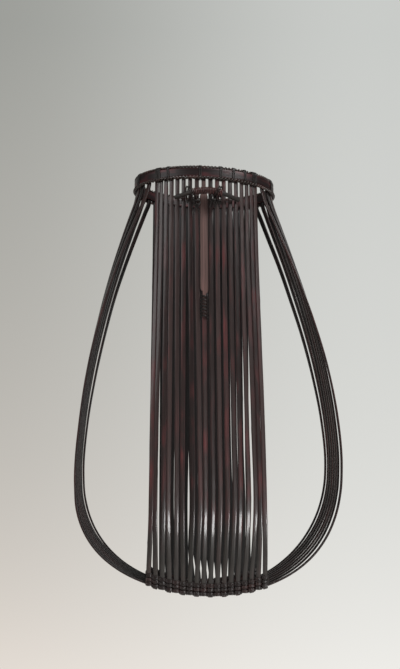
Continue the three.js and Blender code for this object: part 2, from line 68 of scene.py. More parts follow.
def merged_solid(node):
    """A node's solid from the frame, with the corners of its loose triangles merged."""
    solid = bmesh.new()
    solid.from_mesh(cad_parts[node].data)
    bmesh.ops.remove_doubles(solid, verts=solid.verts, dist=SAME_PLACE)
    solid.verts.index_update()
    return solid


def rings_of(node, corners):
    """The rings of corners that a swept solid was built from, in order, read from the frame."""
    solid = merged_solid(node)
    furthest = spread_from({solid.verts[:][0]})[-1]
    for face in in_order(furthest)[0].link_faces:
        rings = spread_from(flat_patch(face))
        if all(len(ring) == corners for ring in rings):
            break
    found = [[corner.co.copy() for corner in in_order(ring)] for ring in rings]
    solid.free()
    return found


def in_order(ring):
    """A ring's corners in the order of their numbers, so that every run adds them up alike."""
    return sorted(ring, key=lambda corner: corner.index)


def spread_from(start):
    """Rings of points, each one edge further from the start than the one before."""
    rings, seen = [start], set(start)
    while True:
        ring = {edge.other_vert(v) for v in rings[-1] for edge in v.link_edges} - seen
        if not ring:
            return rings
        rings.append(ring)
        seen |= ring


def flat_patch(face):
    """The corners of the flat patch of triangles that a triangle belongs to."""
    patch, edge_of_patch = {face}, [face]
    while edge_of_patch:
        for edge in edge_of_patch.pop().edges:
            for other in edge.link_faces:
                if other not in patch and other.normal.dot(face.normal) > SAME_PLANE:
                    patch.add(other)
                    edge_of_patch.append(other)
    return {v for f in patch for v in f.verts}


def middle(ring):
    """The middle of a ring of corners."""
    return sum(ring, Vector()) / len(ring)


def across(ring, before):
    """The direction of a strip's width, from the four corners of its section."""
    first = ring[0]
    beside, *others = sorted(ring[1:], key=lambda corner: (corner - first).length)
    width = (sum(others, Vector()) - first - beside).normalized()
    return width if width.dot(before) > 0 else -width


def strip_route(node, start, facing):
    """A strip's middle line and its width direction, from the end of it that is nearer to start."""
    rings = rings_of(node, 4)
    if (middle(rings[0]) - start).length > (middle(rings[-1]) - start).length:
        rings.reverse()
    widths = []
    for ring in rings:
        facing = across(ring, facing)
        widths.append(facing)
    return [middle(ring) for ring in rings], widths


def smoothed(points, sides, step, least=3):
    """A curve through the points, sampled about every step, with side directions square to it."""
    gaps = [(b - a).length for a, b in zip(points, points[1:])]
    slopes = [(points[1] - points[0]) / gaps[0]]
    for i in range(1, len(points) - 1):
        back = (points[i] - points[i - 1]) / gaps[i - 1]
        ahead = (points[i + 1] - points[i]) / gaps[i]
        slopes.append((back * gaps[i] + ahead * gaps[i - 1]) / (gaps[i] + gaps[i - 1]))
    slopes.append((points[-1] - points[-2]) / gaps[-1])
    route, turned = [], []
    for i, gap in enumerate(gaps):
        count = max(least, math.ceil(gap / step))
        for n in range(count):
            t = n / count
            route.append(
                points[i] * (1 + 2 * t) * (1 - t) ** 2
                + slopes[i] * gap * t * (1 - t) ** 2
                + points[i + 1] * t * t * (3 - 2 * t)
                - slopes[i + 1] * gap * t * t * (1 - t)
            )
            turned.append(sides[i].lerp(sides[i + 1], t))
    return squared_to(route + [points[-1]], turned + [sides[-1]])


def squared_to(route, sides, closed=False):
    """The route, with its side directions turned square to it."""
    square = []
    for i, side in enumerate(sides):
        before = route[i - 1] if i or closed else route[0]
        after = route[(i + 1) % len(route)] if i < len(route) - 1 or closed else route[-1]
        ahead = (after - before).normalized()
        square.append((side - ahead * side.dot(ahead)).normalized())
    return route, square


def node_tree(name, inputs):
    """A Geometry Nodes tree with a geometry in and out and named inputs."""
    tree = bpy.data.node_groups.new(name, "GeometryNodeTree")
    tree.interface.new_socket("Geometry", in_out="INPUT", socket_type="NodeSocketGeometry")
    tree.interface.new_socket("Geometry", in_out="OUTPUT", socket_type="NodeSocketGeometry")
    for label, kind in inputs.items():
        tree.interface.new_socket(label, in_out="INPUT", socket_type=f"NodeSocket{kind}")
    return tree


def add_node(tree, kind, settings=None, **links):
    """A node with its settings, and its inputs linked to sockets or set to values, by name or by number."""
    node = tree.nodes.new(kind)
    for key, value in (settings or {}).items():
        setattr(node, key, value)
    for key, value in links.items():
        socket = node.inputs[int(key[1:])] if key[1:].isdigit() else node.inputs[key.replace("_", " ")]
        connect(tree, socket, value)
    return node


def connect(tree, socket, value):
    """Links a socket to another one, or sets it to a value."""
    if isinstance(value, bpy.types.NodeSocket):
        tree.links.new(value, socket)
    else:
        socket.default_value = value


def calculate(tree, operation, *values):
    """A math node's result."""
    node = add_node(tree, "ShaderNodeMath", {"operation": operation})
    for socket, value in zip(node.inputs, values):
        connect(tree, socket, value)
    return node.outputs[0]


def times(tree, first, *others):
    """The product of two or more values."""
    for other in others:
        first = calculate(tree, "MULTIPLY", first, other)
    return first


def ramp(tree, value, start, end, low, high, smooth=True):
    """A value that goes from low to high as another goes from start to end, and is held beyond them."""
    kind = "SMOOTHSTEP" if smooth else "LINEAR"
    node = add_node(tree, "ShaderNodeMapRange", {"interpolation_type": kind}, _0=value, _1=start, _2=end,
                    _3=low, _4=high)
    return node.outputs[0]


def parts_of(tree, vector):
    """A vector's three parts."""
    return add_node(tree, "ShaderNodeSeparateXYZ", _0=vector).outputs


def vector_of(tree, x, y, z=0.0):
    """A vector from its three parts."""
    return add_node(tree, "ShaderNodeCombineXYZ", X=x, Y=y, Z=z).outputs[0]


def marked(tree, geometry, name, kind, value):
    """The geometry, with a value written on each of its points."""
    node = add_node(tree, "GeometryNodeStoreNamedAttribute", {"data_type": kind, "domain": "POINT"},
                    Geometry=geometry, Name=name, Value=value)
    return node.outputs[0]


def mark(tree, name, kind):
    """A value that was written on the points."""
    return add_node(tree, "GeometryNodeInputNamedAttribute", {"data_type": kind}, Name=name).outputs[0]


# A section swept along a route: a rounded, slightly crowned outline whose width and thickness wander a
# little, as they do on split bamboo, with a low swelling at each joint of the culm. It leaves on every point
# where on the strip it lies: across, through and along.
WANDER_RATE = 28.0
JOINT_LENGTH = 5 * MM
sweep = node_tree("split_strip", {
    "Width": "Float", "Thickness": "Float", "Squareness": "Float", "Unevenness": "Float", "Corners": "Int",
    "Joint Pitch": "Float", "Joint Start": "Float", "Joint Rise": "Float", "Taper": "Float", "Seed": "Int",
    "Material": "Material",
})
given = sweep.nodes.new("NodeGroupInput").outputs
outline = add_node(sweep, "GeometryNodeCurvePrimitiveCircle", Resolution=given["Corners"], Radius=1.0)
circle_at = parts_of(sweep, add_node(sweep, "GeometryNodeInputPosition").outputs[0])
power = calculate(sweep, "DIVIDE", 2.0, given["Squareness"])


def made_square(value, size):
    """A coordinate on a circle, moved out to a rounded rectangle of the given size."""
    reach = calculate(sweep, "POWER", calculate(sweep, "ABSOLUTE", value), power)
    return times(sweep, times(sweep, reach, calculate(sweep, "SIGN", value)), times(sweep, size, 0.5))


corner_at = vector_of(sweep, made_square(circle_at[0], given["Width"]),
                      made_square(circle_at[1], given["Thickness"]))
section = add_node(sweep, "GeometryNodeSetPosition", Geometry=outline.outputs["Curve"], Position=corner_at)
section = marked(sweep, section.outputs[0], "section_at", "FLOAT_VECTOR",
                 add_node(sweep, "GeometryNodeInputPosition").outputs[0])
path = add_node(sweep, "GeometryNodeMeshToCurve", Mesh=given["Geometry"])
path = add_node(sweep, "GeometryNodeSetCurveNormal", {"mode": "FREE"}, Curve=path.outputs[0],
                Normal=mark(sweep, "across", "FLOAT_VECTOR"))
reached = add_node(sweep, "GeometryNodeSplineParameter").outputs
path = marked(sweep, path.outputs[0], "along", "FLOAT", reached["Length"])
wander = add_node(sweep, "ShaderNodeTexNoise", {"noise_dimensions": "2D"},
                  Vector=vector_of(sweep, reached["Length"], given["Seed"]), Scale=WANDER_RATE, Detail=1.0)
uneven = times(sweep, calculate(sweep, "SUBTRACT", wander.outputs[0], 0.5), given["Unevenness"])
to_joint = calculate(sweep, "PINGPONG", calculate(sweep, "SUBTRACT", reached["Length"], given["Joint Start"]),
                     times(sweep, given["Joint Pitch"], 0.5))
swelling = ramp(sweep, to_joint, 0.0, JOINT_LENGTH, given["Joint Rise"], 0.0)
from_middle = calculate(sweep, "ABSOLUTE", calculate(sweep, "SUBTRACT", reached["Factor"], 0.5))
narrowing = times(sweep, given["Taper"], times(sweep, from_middle, -2.0))
size = calculate(sweep, "ADD", calculate(sweep, "ADD", uneven, 1.0), swelling)
size = calculate(sweep, "ADD", size, narrowing)
body = add_node(sweep, "GeometryNodeCurveToMesh", Curve=path, Profile_Curve=section, Scale=size,
                Fill_Caps=True)
on_section = parts_of(sweep, mark(sweep, "section_at", "FLOAT_VECTOR"))
strip_at = vector_of(sweep, on_section[0], on_section[1], mark(sweep, "along", "FLOAT"))
body = marked(sweep, body.outputs[0], "strip_at", "FLOAT_VECTOR", strip_at)
body = add_node(sweep, "GeometryNodeSetShadeSmooth", Geometry=body)
body = add_node(sweep, "GeometryNodeRealizeInstances", Geometry=body.outputs[0])
body = add_node(sweep, "GeometryNodeSetMaterial", Geometry=body.outputs[0], Material=given["Material"])
sweep.links.new(body.outputs[0], sweep.nodes.new("NodeGroupOutput").inputs[0])


def grown(name, carrier, tree, **values):
    """A plain mesh grown by a Geometry Nodes tree from a carrier mesh, as an object at the origin."""
    piece = bpy.data.objects.new(name, carrier)
    scene.collection.objects.link(piece)
    grow = piece.modifiers.new("grow", "NODES")
    grow.node_group = tree
    for item in tree.interface.items_tree:
        key = item.name.lower().replace(" ", "_")
        if item.in_out == "INPUT" and key in values:
            grow[item.identifier] = values[key]
    shown = piece.evaluated_get(bpy.context.evaluated_depsgraph_get())
    piece.data = bpy.data.meshes.new_from_object(shown)
    piece.modifiers.clear()
    piece.data.name = name
    return piece


def line_mesh(name, routes, closed=False):
    """A mesh of lines, each a list of points and of side directions."""
    points = [p for line, _ in routes for p in line]
    edges, start = [], 0
    for line, _ in routes:
        edges += [(start + i, start + i + 1) for i in range(len(line) - 1)]
        if closed:
            edges.append((start + len(line) - 1, start))
        start += len(line)
    mesh = bpy.data.meshes.new(name)
    mesh.from_pydata(points, edges, [])
    side = mesh.attributes.new("across", "FLOAT_VECTOR", "POINT")
    side.data.foreach_set("vector", [c for _, sides in routes for s in sides for c in s])
    return mesh


def shader_group(name, inputs, outputs):
    """A shader node group with named sockets."""
    group = bpy.data.node_groups.new(name, "ShaderNodeTree")
    for direction, sockets in (("INPUT", inputs), ("OUTPUT", outputs)):
        for label, kind in sockets.items():
            group.interface.new_socket(label, in_out=direction, socket_type=f"NodeSocket{kind}")
    return group


def noise(tree, at, detail, roughness=0.5):
    """A soft noise, whose grain is set by the vector that it reads."""
    node = add_node(tree, "ShaderNodeTexNoise", Vector=at, Scale=1.0, Detail=detail, Roughness=roughness)
    return node.outputs[0]


def blend(tree, share, first, second):
    """Two colours mixed."""
    node = add_node(tree, "ShaderNodeMix", {"data_type": "RGBA"}, Factor=share, _6=first, _7=second)
    return node.outputs[2]


# The grain of split bamboo: fine fibres along the strip, which streak its colour and roughen its surface, and
# slow waves across and along it from the knife that shaved it.
FIBRE_RELIEF = 0.12 * MM
WAVE_RELIEF = 0.35 * MM
WAVES_ACROSS = 260.0
WAVES_ALONG = 70.0
FIBRE_RUN = 16.0
GRAIN_STRENGTH = 0.6
grain = shader_group("bamboo_grain", {"Strip At": "Vector", "Fibres": "Float", "Run": "Float"},
                     {"Streaks": "Float", "Height": "Float"})
given = grain.nodes.new("NodeGroupInput").outputs
spot = parts_of(grain, given["Strip At"])
fibre_at = vector_of(grain, times(grain, spot[0], given["Fibres"]), times(grain, spot[1], given["Fibres"]),
                     times(grain, spot[2], given["Run"]))
fibres = noise(grain, fibre_at, 3.0, roughness=0.65)
wave_at = vector_of(grain, times(grain, spot[0], WAVES_ACROSS), 3.0, times(grain, spot[2], WAVES_ALONG))
waves = noise(grain, wave_at, 1.0)
relief = calculate(grain, "ADD", times(grain, fibres, FIBRE_RELIEF), times(grain, waves, WAVE_RELIEF))
result = grain.nodes.new("NodeGroupOutput").inputs
grain.links.new(fibres, result["Streaks"])
grain.links.new(relief, result["Height"])

# Lacquer over stain: deep brown black, rubbed through to a red brown along the edges and in long patches. It
# is duller on the face that looks into the basket and darker there as painted shade, its edges are darkened
# as painted shade, and just above the base it is greyed as a painted reflection of the pale floor. The ranges
# across a strip are shares of its half width, and those for the painted reflection are heights.
PATCHES_ACROSS = 90.0
PATCHES_ALONG = 26.0
RUBBED_PATCH = (0.5, 0.78)
RUBBED_EDGE = (0.72, 1.0)
EDGE_WEAR = 0.55
# Painted shade along the edges of each strip, where its rounded arris turns away from the light.
SHADED_ARRIS = (0.6, 1.0)
ARRIS_SHADE = 0.45
# Painted shade on the face that looks into the basket, which is also made duller.
INNER_TO_OUTER = (-0.5 * MM, 0.3 * MM)
INNER_DULLNESS = 0.35
PATCH_DULLNESS = 0.16
STREAK_CONTRAST = 2.2
STREAK_SHIFT = 0.1
# Painted reflection: just above the base the colour is greyed as if it mirrored the pale floor.
FLOOR_REFLECTION_STARTS = (-0.404, -0.397)
FLOOR_REFLECTION_FADES = (-0.36, -0.33)
FLOOR_REFLECTION_COLOUR = (0.034, 0.032, 0.028, 1)
lacquer = shader_group("rubbed_lacquer", {
    "Strip At": "Vector", "Streaks": "Float", "Half Width": "Float", "Dark": "Color", "Rubbed": "Color",
    "Wear": "Float", "Gloss": "Float", "Inner": "Float", "Dust": "Float", "Seed": "Float",
}, {"Color": "Color", "Roughness": "Float"})
given = lacquer.nodes.new("NodeGroupInput").outputs
spot = parts_of(lacquer, given["Strip At"])
patch_at = vector_of(lacquer, times(lacquer, spot[0], PATCHES_ACROSS), given["Seed"],
                     times(lacquer, spot[2], PATCHES_ALONG))
patches = noise(lacquer, patch_at, 2.0)
to_edge = calculate(lacquer, "DIVIDE", calculate(lacquer, "ABSOLUTE", spot[0]), given["Half Width"])
worn = calculate(lacquer, "ADD", ramp(lacquer, to_edge, *RUBBED_EDGE, 0.0, EDGE_WEAR),
                 ramp(lacquer, patches, *RUBBED_PATCH, 0.0, 1.0, smooth=False))
worn = times(lacquer, worn, given["Wear"], calculate(lacquer, "ADD", given["Streaks"], 0.5))
mixed = blend(lacquer, worn, given["Dark"], given["Rubbed"])
height = parts_of(lacquer, add_node(lacquer, "ShaderNodeTexCoord").outputs["Object"])[2]
# Painted reflection of the pale floor, greying the colour just above the base.
floor_reflection_share = ramp(lacquer, height, *FLOOR_REFLECTION_FADES, given["Dust"], 0.0)
floor_reflection_share = ramp(lacquer, height, *FLOOR_REFLECTION_STARTS, 0.0, floor_reflection_share, smooth=False)
mixed = blend(lacquer, floor_reflection_share, mixed, FLOOR_REFLECTION_COLOUR)
streaked = calculate(lacquer, "SUBTRACT", times(lacquer, given["Streaks"], STREAK_CONTRAST), STREAK_SHIFT)
# Painted shade: the face that looks into the basket is darkened.
inner_face_shade = ramp(lacquer, spot[1], *INNER_TO_OUTER, given["Inner"], 1.0)
# Painted shade at the edges of the strip.
arris_shade = ramp(lacquer, to_edge, *SHADED_ARRIS, 1.0, ARRIS_SHADE)
tone = add_node(lacquer, "ShaderNodeVectorMath", {"operation": "SCALE"}, _0=mixed,
                Scale=times(lacquer, streaked, inner_face_shade, arris_shade)).outputs[0]
dulled = times(lacquer, calculate(lacquer, "SUBTRACT", 1.0, inner_face_shade), INNER_DULLNESS)
shine = calculate(lacquer, "ADD", given["Gloss"], times(lacquer, patches, PATCH_DULLNESS))
shine = calculate(lacquer, "ADD", shine, dulled)
result = lacquer.nodes.new("NodeGroupOutput").inputs
lacquer.links.new(tone, result["Color"])
lacquer.links.new(shine, result["Roughness"])


def bamboo(name, half_width, dark, rubbed, wear, gloss, coat=0.12, coat_gloss=0.1, fibres=1900.0, inner=1.0,
           dust=0.0, seed=0.0):
    """Stained and lacquered bamboo or cane. The half width is that of the strip that it is on."""
    material = bpy.data.materials.new(name)
    material.use_nodes = True
    tree = material.node_tree
    surface = tree.nodes["Principled BSDF"]
    at = add_node(tree, "ShaderNodeAttribute", {"attribute_name": "strip_at"}).outputs["Vector"]
    fine = add_node(tree, "ShaderNodeGroup", {"node_tree": grain}, Strip_At=at, Fibres=fibres,
                    Run=FIBRE_RUN).outputs
    coatwork = add_node(tree, "ShaderNodeGroup", {"node_tree": lacquer}, Strip_At=at, Streaks=fine["Streaks"],
                        Half_Width=half_width, Dark=(*dark, 1), Rubbed=(*rubbed, 1), Wear=wear, Gloss=gloss,
                        Inner=inner, Dust=dust, Seed=seed).outputs
    bump = add_node(tree, "ShaderNodeBump", Height=fine["Height"], Strength=GRAIN_STRENGTH, Distance=1.0)
    tree.links.new(coatwork["Color"], surface.inputs["Base Color"])
    tree.links.new(coatwork["Roughness"], surface.inputs["Roughness"])
    tree.links.new(bump.outputs[0], surface.inputs["Normal"])
    surface.inputs["Specular IOR Level"].default_value = 0.3
    surface.inputs["Coat Weight"].default_value = coat
    surface.inputs["Coat Roughness"].default_value = coat_gloss
    return material


def finish_piece(piece, slot, *nodes):
    """Puts a finished piece on the basket in place of its plain solids."""
    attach(piece, "root")
    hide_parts(*nodes)


RIB_COUNT = 18
RIB_WIDTH = 4.85 * MM
STRIP_THICK = 1.6 * MM
STRIP_STEP = 4 * MM
STRIP_SHAPE = {"squareness": 4.0, "unevenness": 0.14, "corners": 18}
RIB_TWIST = 0.09
RIB_JOINTS = 0.23
RIB_DARK = (0.034, 0.022, 0.0205)
RIB_RUBBED = (0.115, 0.026, 0.027)
rim_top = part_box("rim_outer_hoop")[1][2]

# On the room side some ribs bow to one side as they rise, and some lean just above the base. Both are given
# in millimetres by the rib's number, to the right where positive.
FAR_SIDE = 90 * MM
BOW_LEVEL = -330 * MM
FAR_BOW = {7: 1.1, 8: -1.0, 12: -0.6, 13: -1.3, 14: -2.1, 15: -2.4, 16: -2.0, 17: -0.8}
BOW_FULLNESS = 0.35
LEAN_LOW, LEAN_HIGH = -396 * MM, -338 * MM
FOOT_LEAN = {8: -1.8, 9: -2.2, 10: -2.3, 11: -2.3, 12: -2.2, 13: -1.5}
LEAN_FULLNESS = 0.6
for i in range(1, RIB_COUNT + 1):
    wall_end = Vector((0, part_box("rim_outer_hoop")[0][1], rim_top))
    points, widths = strip_route(f"rib_{i:02d}", wall_end, Vector((1, 0, 0)))
    for point in points:
        if point.y > FAR_SIDE and point.z > BOW_LEVEL:
            rise = (point.z - BOW_LEVEL) / (rim_top - BOW_LEVEL)
            point.x += FAR_BOW.get(i, 0) * MM * math.sin(math.pi * min(1, rise)) ** BOW_FULLNESS
        if point.y > FAR_SIDE and LEAN_LOW < point.z < LEAN_HIGH:
            rise = (point.z - LEAN_LOW) / (LEAN_HIGH - LEAN_LOW)
            point.x += FOOT_LEAN.get(i, 0) * MM * math.sin(math.pi * rise) ** LEAN_FULLNESS
    twist = Matrix.Rotation(RIB_TWIST * math.sin(i * 5.1), 3, "Z")
    widths = [twist @ width for width in widths]
    depth = 0.55 + 0.14 * ((i * 5) % 7)
    # The stain is darkened as painted shade on the face that looks into the basket, and greyed as a painted
    # reflection of the pale floor just above the base.
    stain = bamboo(f"rib_stain_{i:02d}", RIB_WIDTH / 2, dark=[part * depth for part in RIB_DARK],
                   rubbed=RIB_RUBBED, wear=0.45 + 0.015 * i + 0.25 * math.sin(i * 2.3), gloss=0.24, coat=0.3,
                   coat_gloss=0.09, inner=0.22, dust=0.75, seed=i * 3.7)
    rib_line = line_mesh("rib_line", [smoothed(points, widths, STRIP_STEP)])
    rib = grown(f"bamboo_rib_{i:02d}", rib_line, sweep, width=RIB_WIDTH, thickness=STRIP_THICK, **STRIP_SHAPE,
                joint_pitch=RIB_JOINTS, joint_start=0.023 * ((i * 7) % 10), joint_rise=0.07, taper=0.05,
                seed=i, material=stain)
    finish_piece(rib, "rib_bamboo", f"rib_{i:02d}")


# Side strips: eight longer strips of the same bamboo. Each leaves the left end of the rim, swings out and
# round under the base, where the ribs pass over and under it, and comes back up to the right end.
def smooth_step(t):
    """A smooth way from 0 to 1."""
    t = min(1, max(0, t))
    return t * t * (3 - 2 * t)


def mix(a, b, share):
    """A value between two others."""
    return a + (b - a) * share


SIDE_COUNT = 8
SIDE_WIDTH = 4.8 * MM
SIDE_THICK = 2.0 * MM
SIDE_JOINTS = 0.26
SIDE_DARK = (0.020, 0.012, 0.011)
SIDE_RUBBED = (0.095, 0.030, 0.026)
# Each side strip's darkness, by number: partly its own tone and partly painted light and shade, the odd
# strips lighter and the even ones darker so that they read apart as lit and shaded lines.
SIDE_TONES_AND_SHADE = (1.4, 0.3, 1.9, 0.35, 1.6, 0.3, 1.2, 0.4)

# The strips lie close together in bundles. How far each is moved outwards from its solid, in the neck under
# the rim and lower down, is given in millimetres by the strip's number. The move sets in just below the rim,
# the neck's gives way to the lower one about two and a half neck lengths down, and none is left at the ribs.
NECK_LENGTH = 60 * MM
RIB_REACH = 66 * MM
NECK_LEFT = {1: -0.6, 2: -0.4, 3: 0.2, 4: -0.7, 5: -1.4, 6: -0.6, 7: 0.9, 8: 1.8}
NECK_RIGHT = {1: -0.6, 2: -0.2, 4: -0.4, 5: -0.9, 6: -0.4, 7: 1.2, 8: 1.8}
LOW_LEFT = {7: 0.5, 8: -0.9}
LOW_RIGHT = {1: 0.5, 2: -0.5, 3: -0.3, 5: 0.1, 6: 0.3, 7: 0.5, 8: -0.2}
for k in range(1, SIDE_COUNT + 1):
    left_end = Vector((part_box("rim_outer_hoop")[0][0], 0, rim_top))
    points, widths = strip_route(f"side_strip_{k}", left_end, Vector((0, -1, 0)))
    for point in points:
        neck, low = (NECK_LEFT, LOW_LEFT) if point.x < 0 else (NECK_RIGHT, LOW_RIGHT)
        below = (rim_top - point.z) / NECK_LENGTH
        shift = mix(neck.get(k, 0), low.get(k, 0), smooth_step(below / 2 - 0.8)) * MM
        if below > 2:
            shift *= smooth_step(abs(point.x) / RIB_REACH - 1)
        point.x += math.copysign(1, point.x) * shift * smooth_step(3 * below - 0.6)
    depth = SIDE_TONES_AND_SHADE[k - 1]
    # The stain is darkened as painted shade on the face that looks into the basket, and greyed as a painted
    # reflection of the pale floor just above the base.
    stain = bamboo(f"side_stain_{k}", SIDE_WIDTH / 2, dark=[part * depth for part in SIDE_DARK],
                   rubbed=SIDE_RUBBED, wear=0.5 + 0.25 * math.sin(k * 1.9), gloss=0.24, coat=0.06 * (k % 2),
                   inner=0.4, dust=0.15, fibres=600.0, seed=50 + k * 2.9)
    side_line = line_mesh("side_line", [smoothed(points, widths, STRIP_STEP)])
    strip = grown(f"bamboo_side_strip_{k}", side_line, sweep, width=SIDE_WIDTH, thickness=SIDE_THICK,
                  **STRIP_SHAPE, joint_pitch=SIDE_JOINTS, joint_start=0.026 * ((k * 3) % 10), joint_rise=0.06,
                  taper=-0.14, seed=40 + k, material=stain)
    finish_piece(strip, "side_bamboo", f"side_strip_{k}")


# Rim hoops: two flat bands of thicker bamboo, each bent into an oval with its ends lapped under a tie. The
# ribs and side strips stand between them. Their flats are rubbed to a red brown.
HOOP_HEIGHT = 9 * MM
HOOP_THICK = 1.6 * MM
GAP = 0.3 * MM
SLANT = 0.03
HOOP_OFFSET = STRIP_THICK / 2 + GAP + HOOP_THICK / 2
HOOP_STEPS = 240
rim_low, rim_high = (Vector(corner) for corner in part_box("rim_outer_hoop"))
rim_middle = (rim_low + rim_high) / 2
ring_across = rim_high.x - rim_middle.x - HOOP_OFFSET - HOOP_THICK / 2
ring_deep = rim_high.y - rim_middle.y - HOOP_OFFSET - HOOP_THICK / 2
UP = Vector((0, 0, 1))


def ring_normal(angle):
    """The level direction straight out from the rim."""
    return Vector((ring_deep * math.cos(angle), ring_across * math.sin(angle), 0)).normalized()


def ring_point(angle, offset, rise):
    """A place on the oval of standing ends, moved outwards and up from the hoops' middle height."""
    place = Vector((ring_across * math.cos(angle), ring_deep * math.sin(angle), 0))
    place += ring_normal(angle) * offset
    return place + Vector((rim_middle.x, rim_middle.y, rim_middle.z + rise - SLANT * place.x))


def full_turn(steps):
    """Angles all the way round."""
    return [2 * math.pi * i / steps for i in range(steps)]


hoop_stain = bamboo("hoop_stain", HOOP_HEIGHT / 2, dark=(0.015, 0.009, 0.009), rubbed=(0.125, 0.031, 0.034),
                    wear=1.0, gloss=0.3, coat=0.03, fibres=1500.0, seed=3.0)
for name, offset, node in (("bamboo_outer_hoop", HOOP_OFFSET, "rim_outer_hoop"),
                           ("bamboo_inner_hoop", -HOOP_OFFSET, "rim_inner_hoop")):
    line = [ring_point(angle, offset, 0) for angle in full_turn(HOOP_STEPS)]
    hoop_line = line_mesh("hoop_line", [squared_to(line, [UP] * len(line), closed=True)], closed=True)
    hoop = grown(name, hoop_line, sweep, width=HOOP_HEIGHT, thickness=HOOP_THICK, squareness=7.0,
                 unevenness=0.04, corners=28, joint_pitch=0.205, joint_start=0.06, joint_rise=0.03, taper=0.0,
                 seed=71, material=hoop_stain)
    finish_piece(hoop, "hoop_bamboo", node)


# Rim edgings: split cane twisted in pairs. One pair covers the cut ends on top of the rim, and a tighter pair
# runs under the outer hoop, where it holds the ribs apart.
TOP_EDGING = 2.6 * MM
TOP_STRAND = 1.9 * MM
LOWER_EDGING = 2.4 * MM
LOWER_STRAND = 1.8 * MM
EDGING_TURNS = 62
EDGING_STEPS = 1240
edging_stain = bamboo("edging_stain", 1.0 * MM, dark=(0.026, 0.017, 0.014), rubbed=(0.14, 0.05, 0.04),
                      wear=0.9, gloss=0.2, coat=0.25, fibres=2500.0, seed=13.0)


def twisted_pair(offset, rise, reach, lift):
    """Two strands twisted round each other along the rim."""
    pair = []
    for strand in range(2):
        line = []
        for angle in full_turn(EDGING_STEPS):
            phase = EDGING_TURNS * angle + strand * math.pi
            line.append(ring_point(angle, offset + reach * math.cos(phase), rise + lift * math.sin(phase)))
        pair.append(squared_to(line, [UP] * EDGING_STEPS, closed=True))
    return pair


def jointless(name, lines, stain, closed=False, taper=0.0, **shape):
    """A strand or bar whose joints are shaved level, so that it has no swelling."""
    return grown(name, line_mesh(f"{name}_line", lines, closed), sweep, joint_pitch=9.0, joint_start=5.0,
                 joint_rise=0.0, taper=taper, material=stain, **shape)


top_rise = HOOP_HEIGHT / 2 + GAP + TOP_EDGING / 2
top_pair = twisted_pair(0, top_rise, reach=1.8 * MM, lift=1.05 * MM)
top_edging = jointless("cane_top_edging", top_pair, edging_stain, closed=True, width=TOP_STRAND,
                       thickness=TOP_STRAND, squareness=2.3, unevenness=0.2, corners=10, seed=81)
finish_piece(top_edging, "cane", "rim_top_edging")
lower_offset = STRIP_THICK / 2 + GAP + LOWER_EDGING / 2
lower_rise = -HOOP_HEIGHT / 2 - GAP - LOWER_EDGING / 2
lower_pair = twisted_pair(lower_offset, lower_rise, reach=1.0 * MM, lift=1.0 * MM)
lower_edging = jointless("cane_lower_edging", lower_pair, edging_stain, closed=True, width=LOWER_STRAND,
                         thickness=LOWER_STRAND, squareness=2.2, unevenness=0.2, corners=10, seed=82)
finish_piece(lower_edging, "cane", "rim_lower_edging")


# Rim ties: bands of split cane, wound through a gap between the standing ends round both hoops and both
# edgings, and pulled tight. Each goes round twice, and four times near the two ends of the rim.
TIE_COUNT = 14
TIE_WIDTH = 1.15 * MM
TIE_THICK = 0.55 * MM
TIE_BELLY = 0.75 * MM
TIE_STEPS = 48
NEAR_END = 0.6
TURNS_NEAR_END = (-2.2, -0.75, 0.75, 2.2)
TURNS_ELSEWHERE = (-0.7, 0.7)
tie_reach = HOOP_OFFSET + HOOP_THICK / 2 + GAP + TIE_THICK / 2
tie_top = HOOP_HEIGHT / 2 + 2 * GAP + TOP_EDGING + TIE_THICK / 2
tie_bottom = -HOOP_HEIGHT / 2 - 2 * GAP - LOWER_EDGING - TIE_THICK / 2
cane_stain = bamboo("cane_stain", 0.7 * MM, dark=(0.010, 0.007, 0.006), rubbed=(0.05, 0.020, 0.017), wear=0.4,
                    gloss=0.3, coat=0.0, fibres=3500.0, seed=11.0)
for n in range(1, TIE_COUNT + 1):
    low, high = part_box(f"rim_tie_{n:02d}")
    tie_angle = math.atan2(((low[1] + high[1]) / 2 - rim_middle.y) / ring_deep,
                           ((low[0] + high[0]) / 2 - rim_middle.x) / ring_across)
    turns = []
    for turn in TURNS_NEAR_END if abs(math.cos(tie_angle)) > NEAR_END else TURNS_ELSEWHERE:
        angle = tie_angle + turn * MM / (ring_across * ring_deep) ** 0.5
        line = []
        for phase in full_turn(TIE_STEPS):
            away, up = (math.copysign(abs(f) ** 0.5, f) for f in (math.cos(phase), math.sin(phase)))
            belly = TIE_BELLY * max(0, -up) * max(0, away)
            line.append(ring_point(angle, tie_reach * away + belly,
                                   (tie_top + tie_bottom) / 2 + (tie_top - tie_bottom) / 2 * up))
        turns.append(squared_to(line, [UP.cross(ring_normal(angle))] * len(line), closed=True))
    tie = jointless(f"cane_rim_tie_{n:02d}", turns, cane_stain, closed=True, width=TIE_WIDTH,
                    thickness=TIE_THICK, squareness=3.0, unevenness=0.12, corners=10, seed=90 + n)
    finish_piece(tie, "cane", f"rim_tie_{n:02d}")


